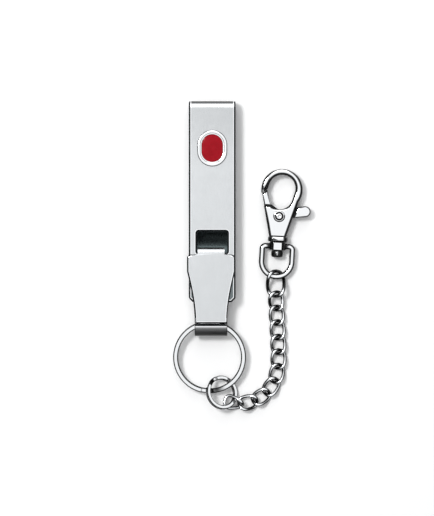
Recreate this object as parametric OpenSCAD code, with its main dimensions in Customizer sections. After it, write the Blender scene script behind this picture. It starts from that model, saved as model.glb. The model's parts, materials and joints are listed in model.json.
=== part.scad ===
// Belt key clip: a spring clip for the belt, a latched key holder, two split rings,
// a short curb chain and a swivel snap hook. It lies on its back leg, front face up.
// The origin is the centre of the back leg's flat rear face. +Y is the top of the clip.
// All lengths are in millimetres.

/* [Belt clip] */
// Width of the steel strip
clip_w = 16; // [14:0.1:20]
// Length of the front plate, from the top to its lower end
plate_len = 68.7; // [66:0.1:76]
// Thickness of the strip
clip_t = 1; // [0.8:0.05:1.3]
// Depth of the clip, from the rear of the back leg to the front face
clip_h = 7.4; // [7:0.1:10]
// Outer radius of the two bends at the top
bend_r = 2.7; // [2:0.1:3.4]
// Length of the flat stretch of the back leg
leg_flat = 41.2; // [36:0.1:44]
// Length of the slope from the flat stretch to the pinch
pinch_run = 9.6; // [8:0.1:12]
// Height of the pinch over the flat stretch
pinch_rise = 3.2; // [2:0.1:3.6]
// Length of the flare past the pinch
flare_run = 7.9; // [6:0.1:9]
// Height of the flare's tip over the flat stretch
flare_rise = 0; // [0:0.1:0.6]
// Chamfer of the corners at the lower end and at the tip of the back leg
plate_chamfer = 1.4; // [0.8:0.1:2]
// Width of the window
window_w = 10.3; // [9.5:0.1:12]
// Height of the window
window_h = 7.3; // [6.8:0.1:8.5]
// Corner radius of the window
window_corner = 0.6; // [0.3:0.1:1]

/* [Badge] */
// Width of the badge
badge_w = 10.2; // [8:0.1:12]
// Height of the badge
badge_h = 12.4; // [10.6:0.1:15]
// Distance of the badge's centre below the top of the clip
badge_drop = 16.2; // [14:0.1:20]
// Height of the rim over the plate
badge_rise = 1; // [0.7:0.1:1.4]
// Width of the rim
badge_rim_w = 1.5; // [1:0.1:2.2]
// Thickness of the floor under the enamel
badge_floor = 0.4; // [0.3:0.05:0.6]
// Height of the enamel over the floor
enamel_t = 0.4; // [0.25:0.05:0.6]
// Radius of the two posts that hold the badge
post_r = 0.7; // [0.5:0.05:0.9]
// Distance between the posts
post_gap = 6.4; // [5:0.1:7.5]

/* [Key holder] */
// Thickness of the holder's strip
holder_t = 0.8; // [0.6:0.05:0.9]
// Width across the two wings of the tab
tab_w = 16.4; // [14:0.1:20]
// Width at the loop
loop_w = 11.1; // [9:0.1:12.5]
// Length of the straight side of a wing
wing_len = 5.7; // [4:0.1:7]
// Corner radius of a wing
wing_corner = 1.3; // [0.8:0.1:2]
// Height of the tongue's upper face over the plate's lower end
tongue_up = 18.7; // [17.5:0.1:20]
// Outer radius of the tongue's bend
tongue_r = 2; // [1.6:0.1:2.4]
// Clearance of the tongue on each side of the window
tongue_side = 0.5; // [0.3:0.05:0.8]
// How far the tongue reaches past the rear of the plate
tongue_reach = 1; // [0.6:0.1:1.4]
// Distance of the wings' upper edge below the tongue's bend
wing_drop = 0.4; // [0.2:0.1:0.8]
// Outer radius of the loop
loop_r = 3.7; // [3.4:0.1:3.9]
// Distance of the loop's centre below the plate's lower end
loop_drop = 7.9; // [7.6:0.1:9]
// Length of the leaf behind the plate, measured from the loop's centre
leaf_len = 15.8; // [12:0.1:17]
// Gap between the holder and the plate
slide_gap = 0.1; // [0.05:0.01:0.15]
// Gap between the tab and the loop
seam = 0.45; // [0.4:0.05:0.6]

/* [Rings] */
// Outside diameter of the key ring
ring_d = 25; // [24:0.1:26]
// Width of the key ring's wire across the ring
ring_wire_w = 1.75; // [1.5:0.05:1.8]
// Thickness of one turn of the key ring
ring_wire_t = 0.9; // [0.7:0.05:0.9]
// Outside diameter of the small ring
small_d = 11.7; // [11.3:0.1:12]
// Width of the small ring's wire across the ring
small_wire_w = 1.4; // [1.2:0.05:1.45]
// Thickness of one turn of the small ring
small_wire_t = 0.7; // [0.5:0.05:0.7]
// Gap between the two turns of a ring
turn_gap = 0.06; // [0.04:0.01:0.08]

/* [Chain] */
// Distance between the centres of two links
pitch = 5; // [4.9:0.01:5.05]
// Diameter of the links' wire
wire_d = 1.2; // [1.1:0.01:1.2]
// Outside width of a link
link_w = 5.7; // [5.6:0.05:5.9]
// Play between two links
link_play = 0.15; // [0.1:0.01:0.2]
// Diameter of the connector link's wire
connector_d = 1.4; // [1.3:0.01:1.45]
// Outside length of the connector link
connector_len = 10; // [9.8:0.05:10.2]
// Outside width of the connector link
connector_w = 7.1; // [6.9:0.05:7.3]

/* [Swivel] */
// Diameter of the barrel of the eye
barrel_d = 5.8; // [5:0.1:6]
// Length of the barrel
barrel_len = 2.7; // [2.2:0.1:3]
// Thickness of the barrel and the collar, from front to back
swivel_t = 5.2; // [4.8:0.1:5.6]
// Diameter of the wire of the eye
eye_wire = 1.95; // [1.8:0.05:2]
// Width of the eye over its two arms
eye_w = 12.3; // [11.5:0.1:13]
// Distance from the middle of the barrel to the middle of the eye's lowest wire
eye_drop = 10.4; // [10.1:0.1:10.8]
// Radius of the post in the barrel
post_shaft_r = 1.5; // [1.2:0.05:1.7]
// Running clearance around the post
post_clear = 0.1; // [0.05:0.01:0.15]
// Radius of the post's peened end
peen_r = 2.05; // [1.9:0.05:2.3]
// Length of the post's peened end
peen_len = 2.3; // [1.8:0.1:2.5]
// Running gap between the barrel and what it turns against
swivel_gap = 0.15; // [0.1:0.01:0.2]

/* [Snap hook] */
// Thickness of the hook
hook_t = 4.2; // [3.8:0.1:4.4]
// Diameter of the collar
collar_d = 7; // [6.4:0.1:7.6]
// Length of the collar
collar_len = 1.8; // [1.5:0.1:2.1]
// Outside width of the bow
bow_w = 14.2; // [13.6:0.1:14.8]
// Inside width of the bow
eye_in_w = 9.1; // [8.8:0.1:9.4]
// Sideways shift of the bow to the hook's axis
bow_shift = 0.5; // [0.3:0.1:0.7]
// Distance from the barrel's middle to the bow's centre
bow_up = 19.4; // [19.1:0.1:19.7]
// Rise of the opening's upper arc over the bow's centre
eye_in_rise = 0.5; // [0.3:0.1:0.6]
// Distance between the centres of the opening's two arcs
eye_in_run = 2.8; // [2.5:0.1:3]
// Lean of the opening to the hook's axis
eye_in_lean = 15; // [12:1:17]
// Distance of the nose below the bow's centre
nose_drop = 1.7; // [1.5:0.1:1.9]
// Width of the body where it meets the collar
neck_w = 5.6; // [5.2:0.1:6]
// Sideways shift of the neck to the hook's axis
neck_shift = -0.2; // [-0.3:0.1:0]
// Width of the slot for the gate
slot_w = 2.2; // [2:0.05:2.3]
// Distance from the barrel's middle to the gate's pivot
pivot_up = 10.3; // [10.1:0.05:10.5]
// Radius of the boss around the pivot
boss_r = 2.1; // [1.8:0.05:2.3]
// Height of the boss over the hook's face
boss_rise = 0.15; // [0.1:0.01:0.2]
// Angle of the cut at the nose
nose_angle = 38; // [34:1:40]

/* [Gate] */
// Thickness of the gate in the slot
gate_t = 1.9; // [1.6:0.05:1.9]
// Thickness of the gate outside the slot
gate_full_t = 3.8; // [3:0.1:3.8]
// Width of the gate's arm
gate_arm_w = 1.9; // [1.7:0.05:2.1]
// Radius of the gate's hub
hub_r = 2.3; // [2.1:0.05:2.4]
// Width of the thumb lever
thumb_w = 3.8; // [3.5:0.1:4]
// Distance from the pivot to the end of the thumb lever
thumb_reach = 10.7; // [10:0.1:11.5]
// Rise of the thumb lever over the pivot
thumb_rise = 2; // [1.8:0.1:2.2]
// Radius of the pivot's shank
rivet_r = 0.8; // [0.7:0.05:0.9]
// Radius of the pivot's heads
rivet_head_r = 1.25; // [1.1:0.05:1.4]
// Height of the pivot's heads
rivet_head_h = 0.25; // [0.2:0.01:0.3]
// Clearance around the pivot's shank
rivet_clear = 0.05; // [0.03:0.01:0.08]
// Diameter of the spring's wire
spring_wire = 0.25; // [0.2:0.01:0.26]
// Number of turns of the spring
spring_turns = 2; // [1:1:2]
// Gap between the turns of the spring
spring_gap = 0.1; // [0.05:0.01:0.12]

/* [Hidden] */
$fn = 48;

// Overrun of every cut
over = 0.5;

// Places on the clip and the holder
clip_top = leg_flat / 2 + bend_r;
plate_end = clip_top - plate_len;
bend_mid_r = bend_r - clip_t / 2;
plate_rear = clip_h - clip_t;
badge_y = clip_top - badge_drop;
tongue_top = plate_end + tongue_up;
tongue_bend_y = tongue_top - tongue_r;
window_ease = 0.15;
window_low = tongue_bend_y + window_ease;
tab_front = clip_h + slide_gap + holder_t;
wing_top = tongue_bend_y - wing_drop;
loop_y = plate_end - loop_drop;
loop_z = tab_front - loop_r;
seam_offset = 0.75;
tab_end = loop_y + seam_offset;
tongue_w = window_w - 2 * tongue_side;
leaf_z = plate_rear - slide_gap - holder_t;
// The holder lies to the left of the middle, by a share of the tongue's clearance
holder_share = 0.8;
holder_x = -tongue_side * holder_share;

// Unit vector at an angle in the plane
function turn(a) = [cos(a), sin(a)];
// Points along an arc, from angle a0 to angle a1 in n steps
function arc(cx, cy, r, a0, a1, n) =
    [for (i = [0:n]) let (a = a0 + (a1 - a0) * i / n) [cx + r * cos(a), cy + r * sin(a)]];
// Unit normal to the left of the way from p to q
function left_of(p, q) = let (d = (q - p) / norm(q - p)) [-d[1], d[0]];
// Normal at point i of a line, lengthened at a corner so that a strip keeps its thickness
function mitre(pts, i) =
    let (last = len(pts) - 1)
    i == 0 ? left_of(pts[0], pts[1]) :
    i == last ? left_of(pts[last - 1], pts[last]) :
    let (a = left_of(pts[i - 1], pts[i]), b = left_of(pts[i], pts[i + 1])) (a + b) / (1 + a * b);
// Outline of a strip of thickness t along a line of points
function strip_outline(pts, t) = concat(
    [for (i = [0:len(pts) - 1]) pts[i] + mitre(pts, i) * t / 2],
    [for (i = [len(pts) - 1:-1:0]) pts[i] - mitre(pts, i) * t / 2]
);
// Outline of a rectangle with round corners, centred at x, y
function round_rect(x, y, w, h, r) = concat(
    arc(x + w / 2 - r, y + h / 2 - r, r, 0, 90, 6),
    arc(x - w / 2 + r, y + h / 2 - r, r, 90, 180, 6),
    arc(x - w / 2 + r, y - h / 2 + r, r, 180, 270, 6),
    arc(x + w / 2 - r, y - h / 2 + r, r, 270, 360, 6)
);

// Extrudes a side outline, drawn as (y, z), across the width of the clip
module across(w) {
    rotate([90, 0, 90]) linear_extrude(height = w, center = true) children();
}

// A corner cut at (x, y), with legs of length c
module corner_cut(x, y, z, h, c, sx, sy) {
    translate([x, y, z]) linear_extrude(height = h)
        polygon([
            [over * sx, over * sy], [-c * sx, over * sy], [-c * sx, 0],
            [0, -c * sy], [over * sx, -c * sy]
        ]);
}

// Middle line of the clip's strip, from the plate's lower end round to the tip of the back leg
pinch_y = -leg_flat / 2 - pinch_run;
leg_tip = pinch_y - flare_run;
clip_steps = 10;
clip_line = concat(
    [[plate_end, clip_h - clip_t / 2]],
    arc(clip_top - bend_r, clip_h - bend_r, bend_mid_r, 90, 0, clip_steps),
    arc(clip_top - bend_r, bend_r, bend_mid_r, 0, -90, clip_steps),
    [for (i = [0:clip_steps]) let (s = i / clip_steps)
        [-leg_flat / 2 - pinch_run * s, clip_t / 2 + pinch_rise * (1 - cos(180 * s)) / 2]],
    [for (i = [1:clip_steps]) let (s = i / clip_steps)
        [pinch_y - flare_run * s, clip_t / 2 + flare_rise
            + (pinch_rise - flare_rise) * (1 + cos(180 * s)) / 2]]
);

module belt_clip() {
    color([0.80, 0.82, 0.83]) difference() {
        across(clip_w) polygon(strip_outline(clip_line, clip_t));
        translate([0, 0, plate_rear - over]) linear_extrude(height = clip_t + 2 * over)
            polygon(round_rect(0, window_low + window_h / 2, window_w, window_h, window_corner));
        for (s = [-1, 1]) {
            corner_cut(s * clip_w / 2, plate_end, plate_rear - over, clip_t + 2 * over,
                plate_chamfer, s, -1);
            corner_cut(s * clip_w / 2, leg_tip, -over, pinch_rise + clip_t, plate_chamfer, s, -1);
            translate([0, badge_y + s * post_gap / 2, plate_rear - over])
                cylinder(r = post_r, h = clip_t + 2 * over);
        }
    }
}

// The badge: a plain rim with round ends, on two posts that are peened behind the plate
badge_top = clip_h + badge_rise;
peen_share = 1.6;
post_head_h = 0.3;
rim_slope = 0.3;
module badge_outline(w, h) {
    for (s = [-1, 1]) translate([0, s * (h - w) / 2]) circle(d = w);
    square([w, h - w], center = true);
}

module badge_rim() {
    color([0.88, 0.89, 0.90]) translate([0, badge_y, 0]) {
        difference() {
            union() {
                translate([0, 0, clip_h]) linear_extrude(height = badge_rise - rim_slope)
                    badge_outline(badge_w, badge_h);
                translate([0, 0, badge_top - rim_slope]) linear_extrude(height = rim_slope)
                    badge_outline(badge_w - 2 * rim_slope, badge_h - 2 * rim_slope);
            }
            translate([0, 0, clip_h + badge_floor]) linear_extrude(height = badge_rise)
                badge_outline(badge_w - 2 * badge_rim_w, badge_h - 2 * badge_rim_w);
        }
        for (s = [-1, 1]) translate([0, s * post_gap / 2, 0]) {
            translate([0, 0, plate_rear]) cylinder(r = post_r, h = clip_t);
            translate([0, 0, plate_rear - post_head_h]) cylinder(r = post_r * peen_share, h = post_head_h);
        }
    }
}

module badge_enamel() {
    color([0.62, 0.10, 0.12]) translate([0, badge_y, clip_h + badge_floor])
        linear_extrude(height = enamel_t)
            badge_outline(badge_w - 2 * badge_rim_w, badge_h - 2 * badge_rim_w);
}

// The tab: half of its outline, from the tongue round the wing and down the taper
taper_steps = 10;
taper_top = wing_top - wing_len;
tab_half = concat(
    [[tongue_w / 2, wing_top]],
    arc(tab_w / 2 - wing_corner, wing_top - wing_corner, wing_corner, 90, 0, 6),
    [for (i = [0:taper_steps]) let (s = i / taper_steps)
        [tab_w / 2 - (tab_w - loop_w) / 2 * sin(90 * s), taper_top - (taper_top - tab_end) * s]]
);
// Middle line of the tongue, from the tab's face round the bend and down through the window
tongue_line = concat(
    [[wing_top - wing_corner, tab_front - holder_t / 2]],
    arc(tongue_bend_y, tab_front - tongue_r, tongue_r - holder_t / 2, 90, 0, 8),
    [[tongue_top - holder_t / 2, plate_rear - tongue_reach]]
);

module latch_tab() {
    color([0.80, 0.82, 0.83]) translate([holder_x, 0, 0]) union() {
        translate([0, 0, tab_front - holder_t]) linear_extrude(height = holder_t)
            polygon(concat(tab_half,
                [for (i = [len(tab_half) - 1:-1:0]) [-tab_half[i][0], tab_half[i][1]]]));
        across(tongue_w) polygon(strip_outline(tongue_line, holder_t));
    }
}

module ring_loop() {
    color([0.62, 0.64, 0.66]) translate([holder_x, 0, 0]) union() {
        difference() {
            translate([0, loop_y, loop_z]) rotate([0, 90, 0])
                cylinder(r = loop_r, h = loop_w, center = true);
            translate([0, loop_y, loop_z]) rotate([0, 90, 0])
                cylinder(r = loop_r - holder_t, h = loop_w + 2 * over, center = true);
            translate([-loop_w / 2 - over, loop_y + seam_offset - seam, leaf_z + holder_t])
                cube([loop_w + 2 * over, loop_r, loop_r]);
        }
        translate([-loop_w / 2, loop_y + loop_r - holder_t, leaf_z])
            cube([loop_w, leaf_len - loop_r + holder_t, holder_t]);
    }
}

// Tubes swept along points. The section lists points as (sideways, up) and runs anticlockwise.
function unit(v) = v / norm(v);
function along(path, i, closed) =
    let (n = len(path))
    closed ? unit(path[(i + 1) % n] - path[(i + n - 1) % n]) :
    unit(path[min(i + 1, n - 1)] - path[max(i - 1, 0)]);
function section_at(path, section, i, closed) =
    let (t = along(path, i, closed), s = unit(cross([0, 0, 1], t)), u = cross(t, s))
    [for (q = section) path[i] + q[0] * s + q[1] * u];
module sweep(path, section, closed) {
    n = len(path);
    m = len(section);
    points = [for (i = [0:n - 1]) each section_at(path, section, i, closed)];
    walls = [for (i = [0:(closed ? n : n - 1) - 1]) for (j = [0:m - 1])
        let (k = (i + 1) % n, l = (j + 1) % m)
        each [[i * m + j, k * m + j, k * m + l], [i * m + j, k * m + l, i * m + l]]];
    caps = closed ? [] : [[for (j = [0:m - 1]) j], [for (j = [m - 1:-1:0]) (n - 1) * m + j]];
    polyhedron(points, concat(walls, caps), convexity = 6);
}
function round_section(r, sides) = [for (j = [0:sides - 1]) r * turn(360 * j / sides)];
corner_share = 0.45;
function flat_section(w, t) =
    let (c = t * corner_share)
    [[w / 2, c - t / 2], [w / 2, t / 2 - c], [w / 2 - c, t / 2], [c - w / 2, t / 2],
     [-w / 2, t / 2 - c], [-w / 2, c - t / 2], [c - w / 2, -t / 2], [w / 2 - c, -t / 2]];

// A split ring: two flat turns on each other, joined by a short climb.
// Its centre is the origin, and the climb ends at angle 0.
climb = 40;
ring_step = 10;
function eased(s) = (1 - cos(180 * s)) / 2;
function coil_height(a, rise) =
    a < 360 - climb ? -rise / 2 : a > 360 ? rise / 2 : rise * (eased((a - 360 + climb) / climb) - 1 / 2);
module coil_ring(d, w, t, step) {
    rise = t + turn_gap;
    r = (d - w) / 2;
    turns_end = 720 - climb - step / 2;
    path = [for (a = [step / 2:step:turns_end]) [r * cos(a), r * sin(a), coil_height(a, rise)]];
    sweep(path, flat_section(w, t), false);
}

// The key ring hangs in the loop and slopes down to the small ring
ring_r = (ring_d - ring_wire_w) / 2;
ring_hang = 0.7;
ring_low = 3;
ring_climb_at = -58;
ring_tilt = asin((loop_z - ring_low) / (2 * ring_r));
ring_x = -0.9;
ring_y = loop_y + ring_hang - ring_r * cos(ring_tilt);
ring_z = (loop_z + ring_low) / 2;
module split_ring() {
    color([0.85, 0.86, 0.87]) translate([ring_x, ring_y, ring_z]) rotate([ring_tilt, 0, 0])
        rotate([0, 0, ring_climb_at]) coil_ring(ring_d, ring_wire_w, ring_wire_t, ring_step);
}

// The small ring goes over the key ring on the left and under it on the right.
// Its centre is set off from the key ring's lowest point, in shares of its own radius.
small_r = (small_d - small_wire_w) / 2;
small_shares = [0.806, -0.107, 0.107];
small_at = [ring_x, ring_y - ring_r * cos(ring_tilt), ring_low] + small_shares * small_r;
small_tilt = 29.7;
small_turn = 26.6;
small_climb_at = 130;
small_step = 12;
module chain_ring() {
    color([0.85, 0.86, 0.87]) translate(small_at)
        rotate([0, 0, small_turn]) rotate([0, small_tilt, 0]) rotate([0, 0, small_climb_at])
            coil_ring(small_d, small_wire_w, small_wire_t, small_step);
}

// A twisted link. Its long axis is X, and its sides rise and fall so that flat links pass each other.
link_rings = 32;
link_sides = 8;
link_power = 2.3;
twist_share = 0.69;
connector_twist_share = 1.17;
function rounded(c) = sign(c) * pow(abs(c), 2 / link_power);
module twisted_link(len_mid, width_mid, wire, twist) {
    a = len_mid / 2;
    b = width_mid / 2;
    path = [for (i = [0:link_rings - 1])
        let (t = 360 * (i + 1 / 2) / link_rings, x = a * rounded(cos(t)), y = b * rounded(sin(t)))
        [x, y, twist * 4 * x * y / (len_mid + width_mid)]];
    sweep(path, round_section(wire / 2, link_sides), true);
}

// The chain's own bends: heading, lift and roll of each link, in degrees
chain_turns = [-10.6, 22.3, 22.5, 22.5, 20.5, 12, 3, 1, 0, 0];
chain_lifts = [1.7, -7, -3, 1.5, -0.8, 0, 0, 0, 0, 13.5];
chain_rolls = [29.1, 0.6, 0, 0, 0, 0, 0, 0, 0, 0];
// Place of the first link from the small ring's centre, in shares of the small ring's radius
chain_shares = [0.802, -0.68, -0.243];
chain_at = small_at + chain_shares * small_r;
function heading(i) = i == 0 ? chain_turns[0] : heading(i - 1) + chain_turns[i];
function link_dir(i) = let (h = heading(i), l = chain_lifts[i]) [cos(h) * cos(l), sin(h) * cos(l), sin(l)];
function link_at(i) = i == 0 ? chain_at :
    link_at(i - 1) + (link_dir(i - 1) + link_dir(i)) * pitch / 2;
module chain_link(i) {
    color([0.84, 0.85, 0.86]) translate(link_at(i)) rotate([0, -chain_lifts[i], heading(i)])
        rotate([chain_rolls[i], 0, 0])
            twisted_link(pitch + wire_d + link_play, link_w - wire_d, wire_d, twist_share);
}

// The connector link lies level between the chain and the eye
connector_turn = -4;
connector_heading = heading(9) + connector_turn;
connector_mid = connector_len - connector_d;
connector_reach = (connector_mid + pitch + wire_d + link_play) / 2 - (wire_d + connector_d) / 2 - link_play;
connector_dir = [cos(connector_heading), sin(connector_heading), 0];
connector_at = link_at(9) + link_dir(9) * pitch / 2 + connector_dir * (connector_reach - pitch / 2);
module connector_link() {
    color([0.84, 0.85, 0.86]) translate(connector_at) rotate([0, 0, connector_heading])
        twisted_link(connector_mid, connector_w - connector_d, connector_d, connector_twist_share);
}

// The hook's own frame: the origin is the middle of the barrel, and +Y runs up the hook
hook_lean = -3;
hook_dir = [-sin(hook_lean), cos(hook_lean), 0];
eye_play = 0.22;
eye_grip = (connector_d + eye_wire) / 2 + eye_play;
eye_low_at = connector_at + connector_dir * (connector_mid / 2 - eye_grip);
hook_at = [eye_low_at[0], eye_low_at[1], swivel_t / 2] + hook_dir * eye_drop;
module hook_place() {
    translate(hook_at) rotate([0, 0, hook_lean]) children();
}
// A cylinder along the hook's axis, from y0 to y1
module post(r, y0, y1) {
    translate([0, y0, 0]) rotate([-90, 0, 0]) cylinder(r = r, h = y1 - y0);
}
// Keeps what lies between the hook's front and rear faces
module slab(t) {
    intersection() {
        children();
        translate([-bow_w, -bow_w, -t / 2]) cube([2 * bow_w, 3 * bow_w, t]);
    }
}

eye_arm = (eye_w - eye_wire) / 2;
barrel_end = barrel_len / 2;
shoulder_r = 1.1;
// One straight arm of the eye
module post_side(s) {
    translate([s * eye_arm, 0, 0]) post(eye_wire / 2, eye_arm - eye_drop, -shoulder_r);
}
module swivel_eye() {
    wire_r = eye_wire / 2;
    color([0.83, 0.84, 0.85]) hook_place() union() {
        difference() {
            slab(swivel_t) post(barrel_d / 2, -barrel_end, barrel_end);
            post(post_shaft_r + post_clear, -barrel_end - over, barrel_end + over);
        }
        difference() {
            for (s = [-1, 1]) {
                translate([s * (eye_arm - shoulder_r), 0, 0]) rotate([0, -90 * s, 0])
                    cylinder(r = wire_r, h = eye_arm - shoulder_r - post_shaft_r - post_clear);
                translate([s * (eye_arm - shoulder_r), -shoulder_r, 0])
                    rotate([0, 0, s > 0 ? 0 : 90]) rotate_extrude(angle = 90)
                        translate([shoulder_r, 0]) circle(r = wire_r);
                post_side(s);
            }
            post(post_shaft_r + post_clear, -barrel_end - over, barrel_end + over);
        }
        translate([0, eye_arm - eye_drop, 0]) rotate([0, 0, 180]) rotate_extrude(angle = 180)
            translate([eye_arm, 0]) circle(r = wire_r);
    }
}
// The hook's outline in its own plane
bow_in_r = eye_in_w / 2;
collar_low = barrel_end + swivel_gap;
collar_top = collar_low + collar_len;
neck_low = collar_top - over;
// Height of the gap's lower edge over the boss
gate_gap_rise = 1.25;
gate_gap_low = pivot_up + boss_r + gate_gap_rise;
nose_at = [bow_shift - bow_w / 2, bow_up - nose_drop];
opening_high = [bow_shift, bow_up + eye_in_rise];
opening_low = opening_high - eye_in_run * [sin(eye_in_lean), cos(eye_in_lean)];
// Sideways place of a flank at a height: side -1 is the gate's, side 1 is the thumb lever's
function flank(side, y) =
    let (low = neck_shift + side * neck_w / 2, high = bow_shift + side * bow_w / 2)
    low + (high - low) * (y - neck_low) / (bow_up - neck_low);
module hook_outline() {
    difference() {
        union() {
            translate([bow_shift, bow_up]) circle(d = bow_w, $fn = 96);
            polygon([
                [flank(-1, neck_low), neck_low], [flank(1, neck_low), neck_low],
                [flank(1, bow_up), bow_up], [flank(-1, bow_up), bow_up]
            ]);
        }
        hull() {
            translate(opening_high) circle(r = bow_in_r, $fn = 96);
            translate(opening_low) circle(r = bow_in_r, $fn = 96);
        }
    }
}
// The gap in the bow that the gate closes, from the flank up to the slanting nose
module gate_gap(play) {
    inner = bow_shift - bow_in_r / 2;
    polygon([
        [-bow_w, gate_gap_low + play], [inner, gate_gap_low + play],
        [inner, nose_at[1] + (inner - nose_at[0]) * tan(nose_angle) - play],
        [-bow_w, nose_at[1] - (bow_w + nose_at[0]) * tan(nose_angle) - play]
    ]);
}
// The slot through the body is longer than the hub and the thumb lever by this at each end
slot_clear = 0.4;
slot_low = pivot_up - hub_r - slot_clear;
slot_high = pivot_up + thumb_rise + thumb_w / 2 + slot_clear;
module hook_body() {
    color([0.86, 0.87, 0.88]) hook_place() union() {
        difference() {
            union() {
                translate([0, 0, -hook_t / 2]) linear_extrude(height = hook_t) difference() {
                    hook_outline();
                    gate_gap(0);
                }
                translate([0, pivot_up, -hook_t / 2 - boss_rise])
                    cylinder(r = boss_r, h = hook_t + 2 * boss_rise);
            }
            translate([-bow_w, slot_low, -slot_w / 2]) cube([2 * bow_w, slot_high - slot_low, slot_w]);
            translate([0, pivot_up, -hook_t]) cylinder(r = rivet_r, h = 2 * hook_t);
        }
        slab(swivel_t) post(collar_d / 2, collar_low, collar_top);
        post(post_shaft_r, -barrel_end - swivel_gap - over, collar_low + over);
        post(peen_r, -barrel_end - swivel_gap - peen_len, -barrel_end - swivel_gap);
    }
}

// The gate: a hub, an arm up to the nose and a thumb lever
gate_play = 0.15;
// Distance of the arm's outer edge from the line of the flank
arm_inset = 0.1;
function arm_out(y) = flank(-1, y) + arm_inset;
// The arm's steps where it leaves the slot, and the parts of the hub that it takes
arm_step_out = 0.6;
arm_step_up = 0.8;
hub_wide_share = 0.9;
hub_mid_share = 0.5;
hub_low_share = 0.4;
// Clearance of the arm's full thickness at the gap, and of the thumb lever's at the flank
arm_end_clear = 0.45;
thumb_clear = 0.35;
thumb_root_share = 0.4;
thumb_tip_r = thumb_w / 2;
module gate_arm_outline() {
    arm_low = gate_gap_low + gate_play;
    arm_slot = pivot_up + hub_r * hub_mid_share;
    polygon([
        [-hub_r * hub_wide_share, pivot_up - hub_r * hub_low_share],
        [arm_out(arm_slot) + arm_step_out, arm_slot],
        [arm_out(arm_low), arm_low], [arm_out(bow_up), bow_up], [arm_out(bow_up) + gate_arm_w, bow_up],
        [arm_out(arm_low) + gate_arm_w, arm_low + arm_step_up],
        [0, pivot_up + hub_r * hub_wide_share]
    ]);
}
module thumb_outline() {
    translate([thumb_reach - thumb_tip_r, pivot_up + thumb_rise]) circle(r = thumb_tip_r);
    polygon([
        [0, pivot_up - hub_r * thumb_root_share],
        [thumb_reach - thumb_tip_r, pivot_up + thumb_rise - thumb_tip_r],
        [thumb_reach - thumb_tip_r, pivot_up + thumb_rise + thumb_tip_r],
        [0, pivot_up + hub_r * hub_wide_share]
    ]);
}
// What lies beyond the flank on the thumb lever's side
module past_flank() {
    polygon([
        [flank(1, 0) + thumb_clear, 0], [flank(1, bow_up) + thumb_clear, bow_up],
        [2 * bow_w, bow_up], [2 * bow_w, 0]
    ]);
}
spring_rise = spring_wire + spring_gap;
spring_h = spring_turns * spring_rise + spring_wire;
spring_room = 0.1;
spring_seat_r = 1.75;
spring_r = spring_seat_r - spring_room - spring_wire / 2;
module gate_lever() {
    color([0.80, 0.81, 0.82]) hook_place() difference() {
        union() {
            translate([0, 0, -gate_t / 2]) linear_extrude(height = gate_t) {
                translate([0, pivot_up]) circle(r = hub_r);
                intersection() {
                    gate_arm_outline();
                    union() {
                        gate_gap(gate_play);
                        translate([-bow_w, slot_low])
                            square([2 * bow_w, gate_gap_low + gate_play - slot_low]);
                    }
                }
                thumb_outline();
            }
            translate([0, 0, -gate_full_t / 2]) linear_extrude(height = gate_full_t) {
                intersection() {
                    gate_arm_outline();
                    gate_gap(gate_play + arm_end_clear);
                }
                intersection() {
                    thumb_outline();
                    past_flank();
                }
            }
        }
        translate([0, pivot_up, -gate_full_t]) cylinder(r = rivet_r + rivet_clear, h = 2 * gate_full_t);
        translate([0, pivot_up, -gate_t])
            cylinder(r = spring_seat_r, h = gate_t / 2 + spring_h - spring_room);
    }
}

module gate_rivet() {
    face = hook_t / 2 + boss_rise;
    color([0.75, 0.76, 0.77]) hook_place() translate([0, pivot_up, 0]) {
        translate([0, 0, -face]) cylinder(r = rivet_r, h = 2 * face);
        for (s = [0, 1]) mirror([0, 0, s]) {
            translate([0, 0, face]) cylinder(r = rivet_head_r, h = rivet_head_h / 2);
            translate([0, 0, face + rivet_head_h / 2])
                cylinder(r1 = rivet_head_r, r2 = rivet_head_r - rivet_head_h, h = rivet_head_h / 2);
        }
    }
}

// The torsion spring lies in the hub's seat, around the rivet
spring_step = 20;
module gate_spring() {
    path = [for (a = [0:spring_step:360 * spring_turns])
        [spring_r * cos(a), spring_r * sin(a), a / 360 * spring_rise]];
    color([0.55, 0.56, 0.58]) hook_place()
        translate([0, pivot_up, spring_wire / 2 - slot_w / 2])
            sweep(path, round_section(spring_wire / 2, 6), false);
}

belt_clip();
badge_rim();
badge_enamel();
latch_tab();
ring_loop();
split_ring();
chain_ring();
chain_link(0);  // chain_link_01
chain_link(1);  // chain_link_02
chain_link(2);  // chain_link_03
chain_link(3);  // chain_link_04
chain_link(4);  // chain_link_05
chain_link(5);  // chain_link_06
chain_link(6);  // chain_link_07
chain_link(7);  // chain_link_08
chain_link(8);  // chain_link_09
chain_link(9);  // chain_link_10
connector_link();
swivel_eye();
hook_body();
gate_lever();
gate_rivet();
gate_spring();
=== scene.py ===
# %% [markdown]
# # Belt key clip
# This lesson dresses a small metal object: a spring clip for the belt, a key holder,
# two split rings, a curb chain and a snap hook. The drawing of the object is already
# there as plain solids, one for each piece. We load them first. Every solid stays where
# it is, and a piece that we model better stands in for it at the same place.

# %% Load the drawing
import bpy
import bmesh
import json
import math
from mathutils import Matrix, Vector


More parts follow.
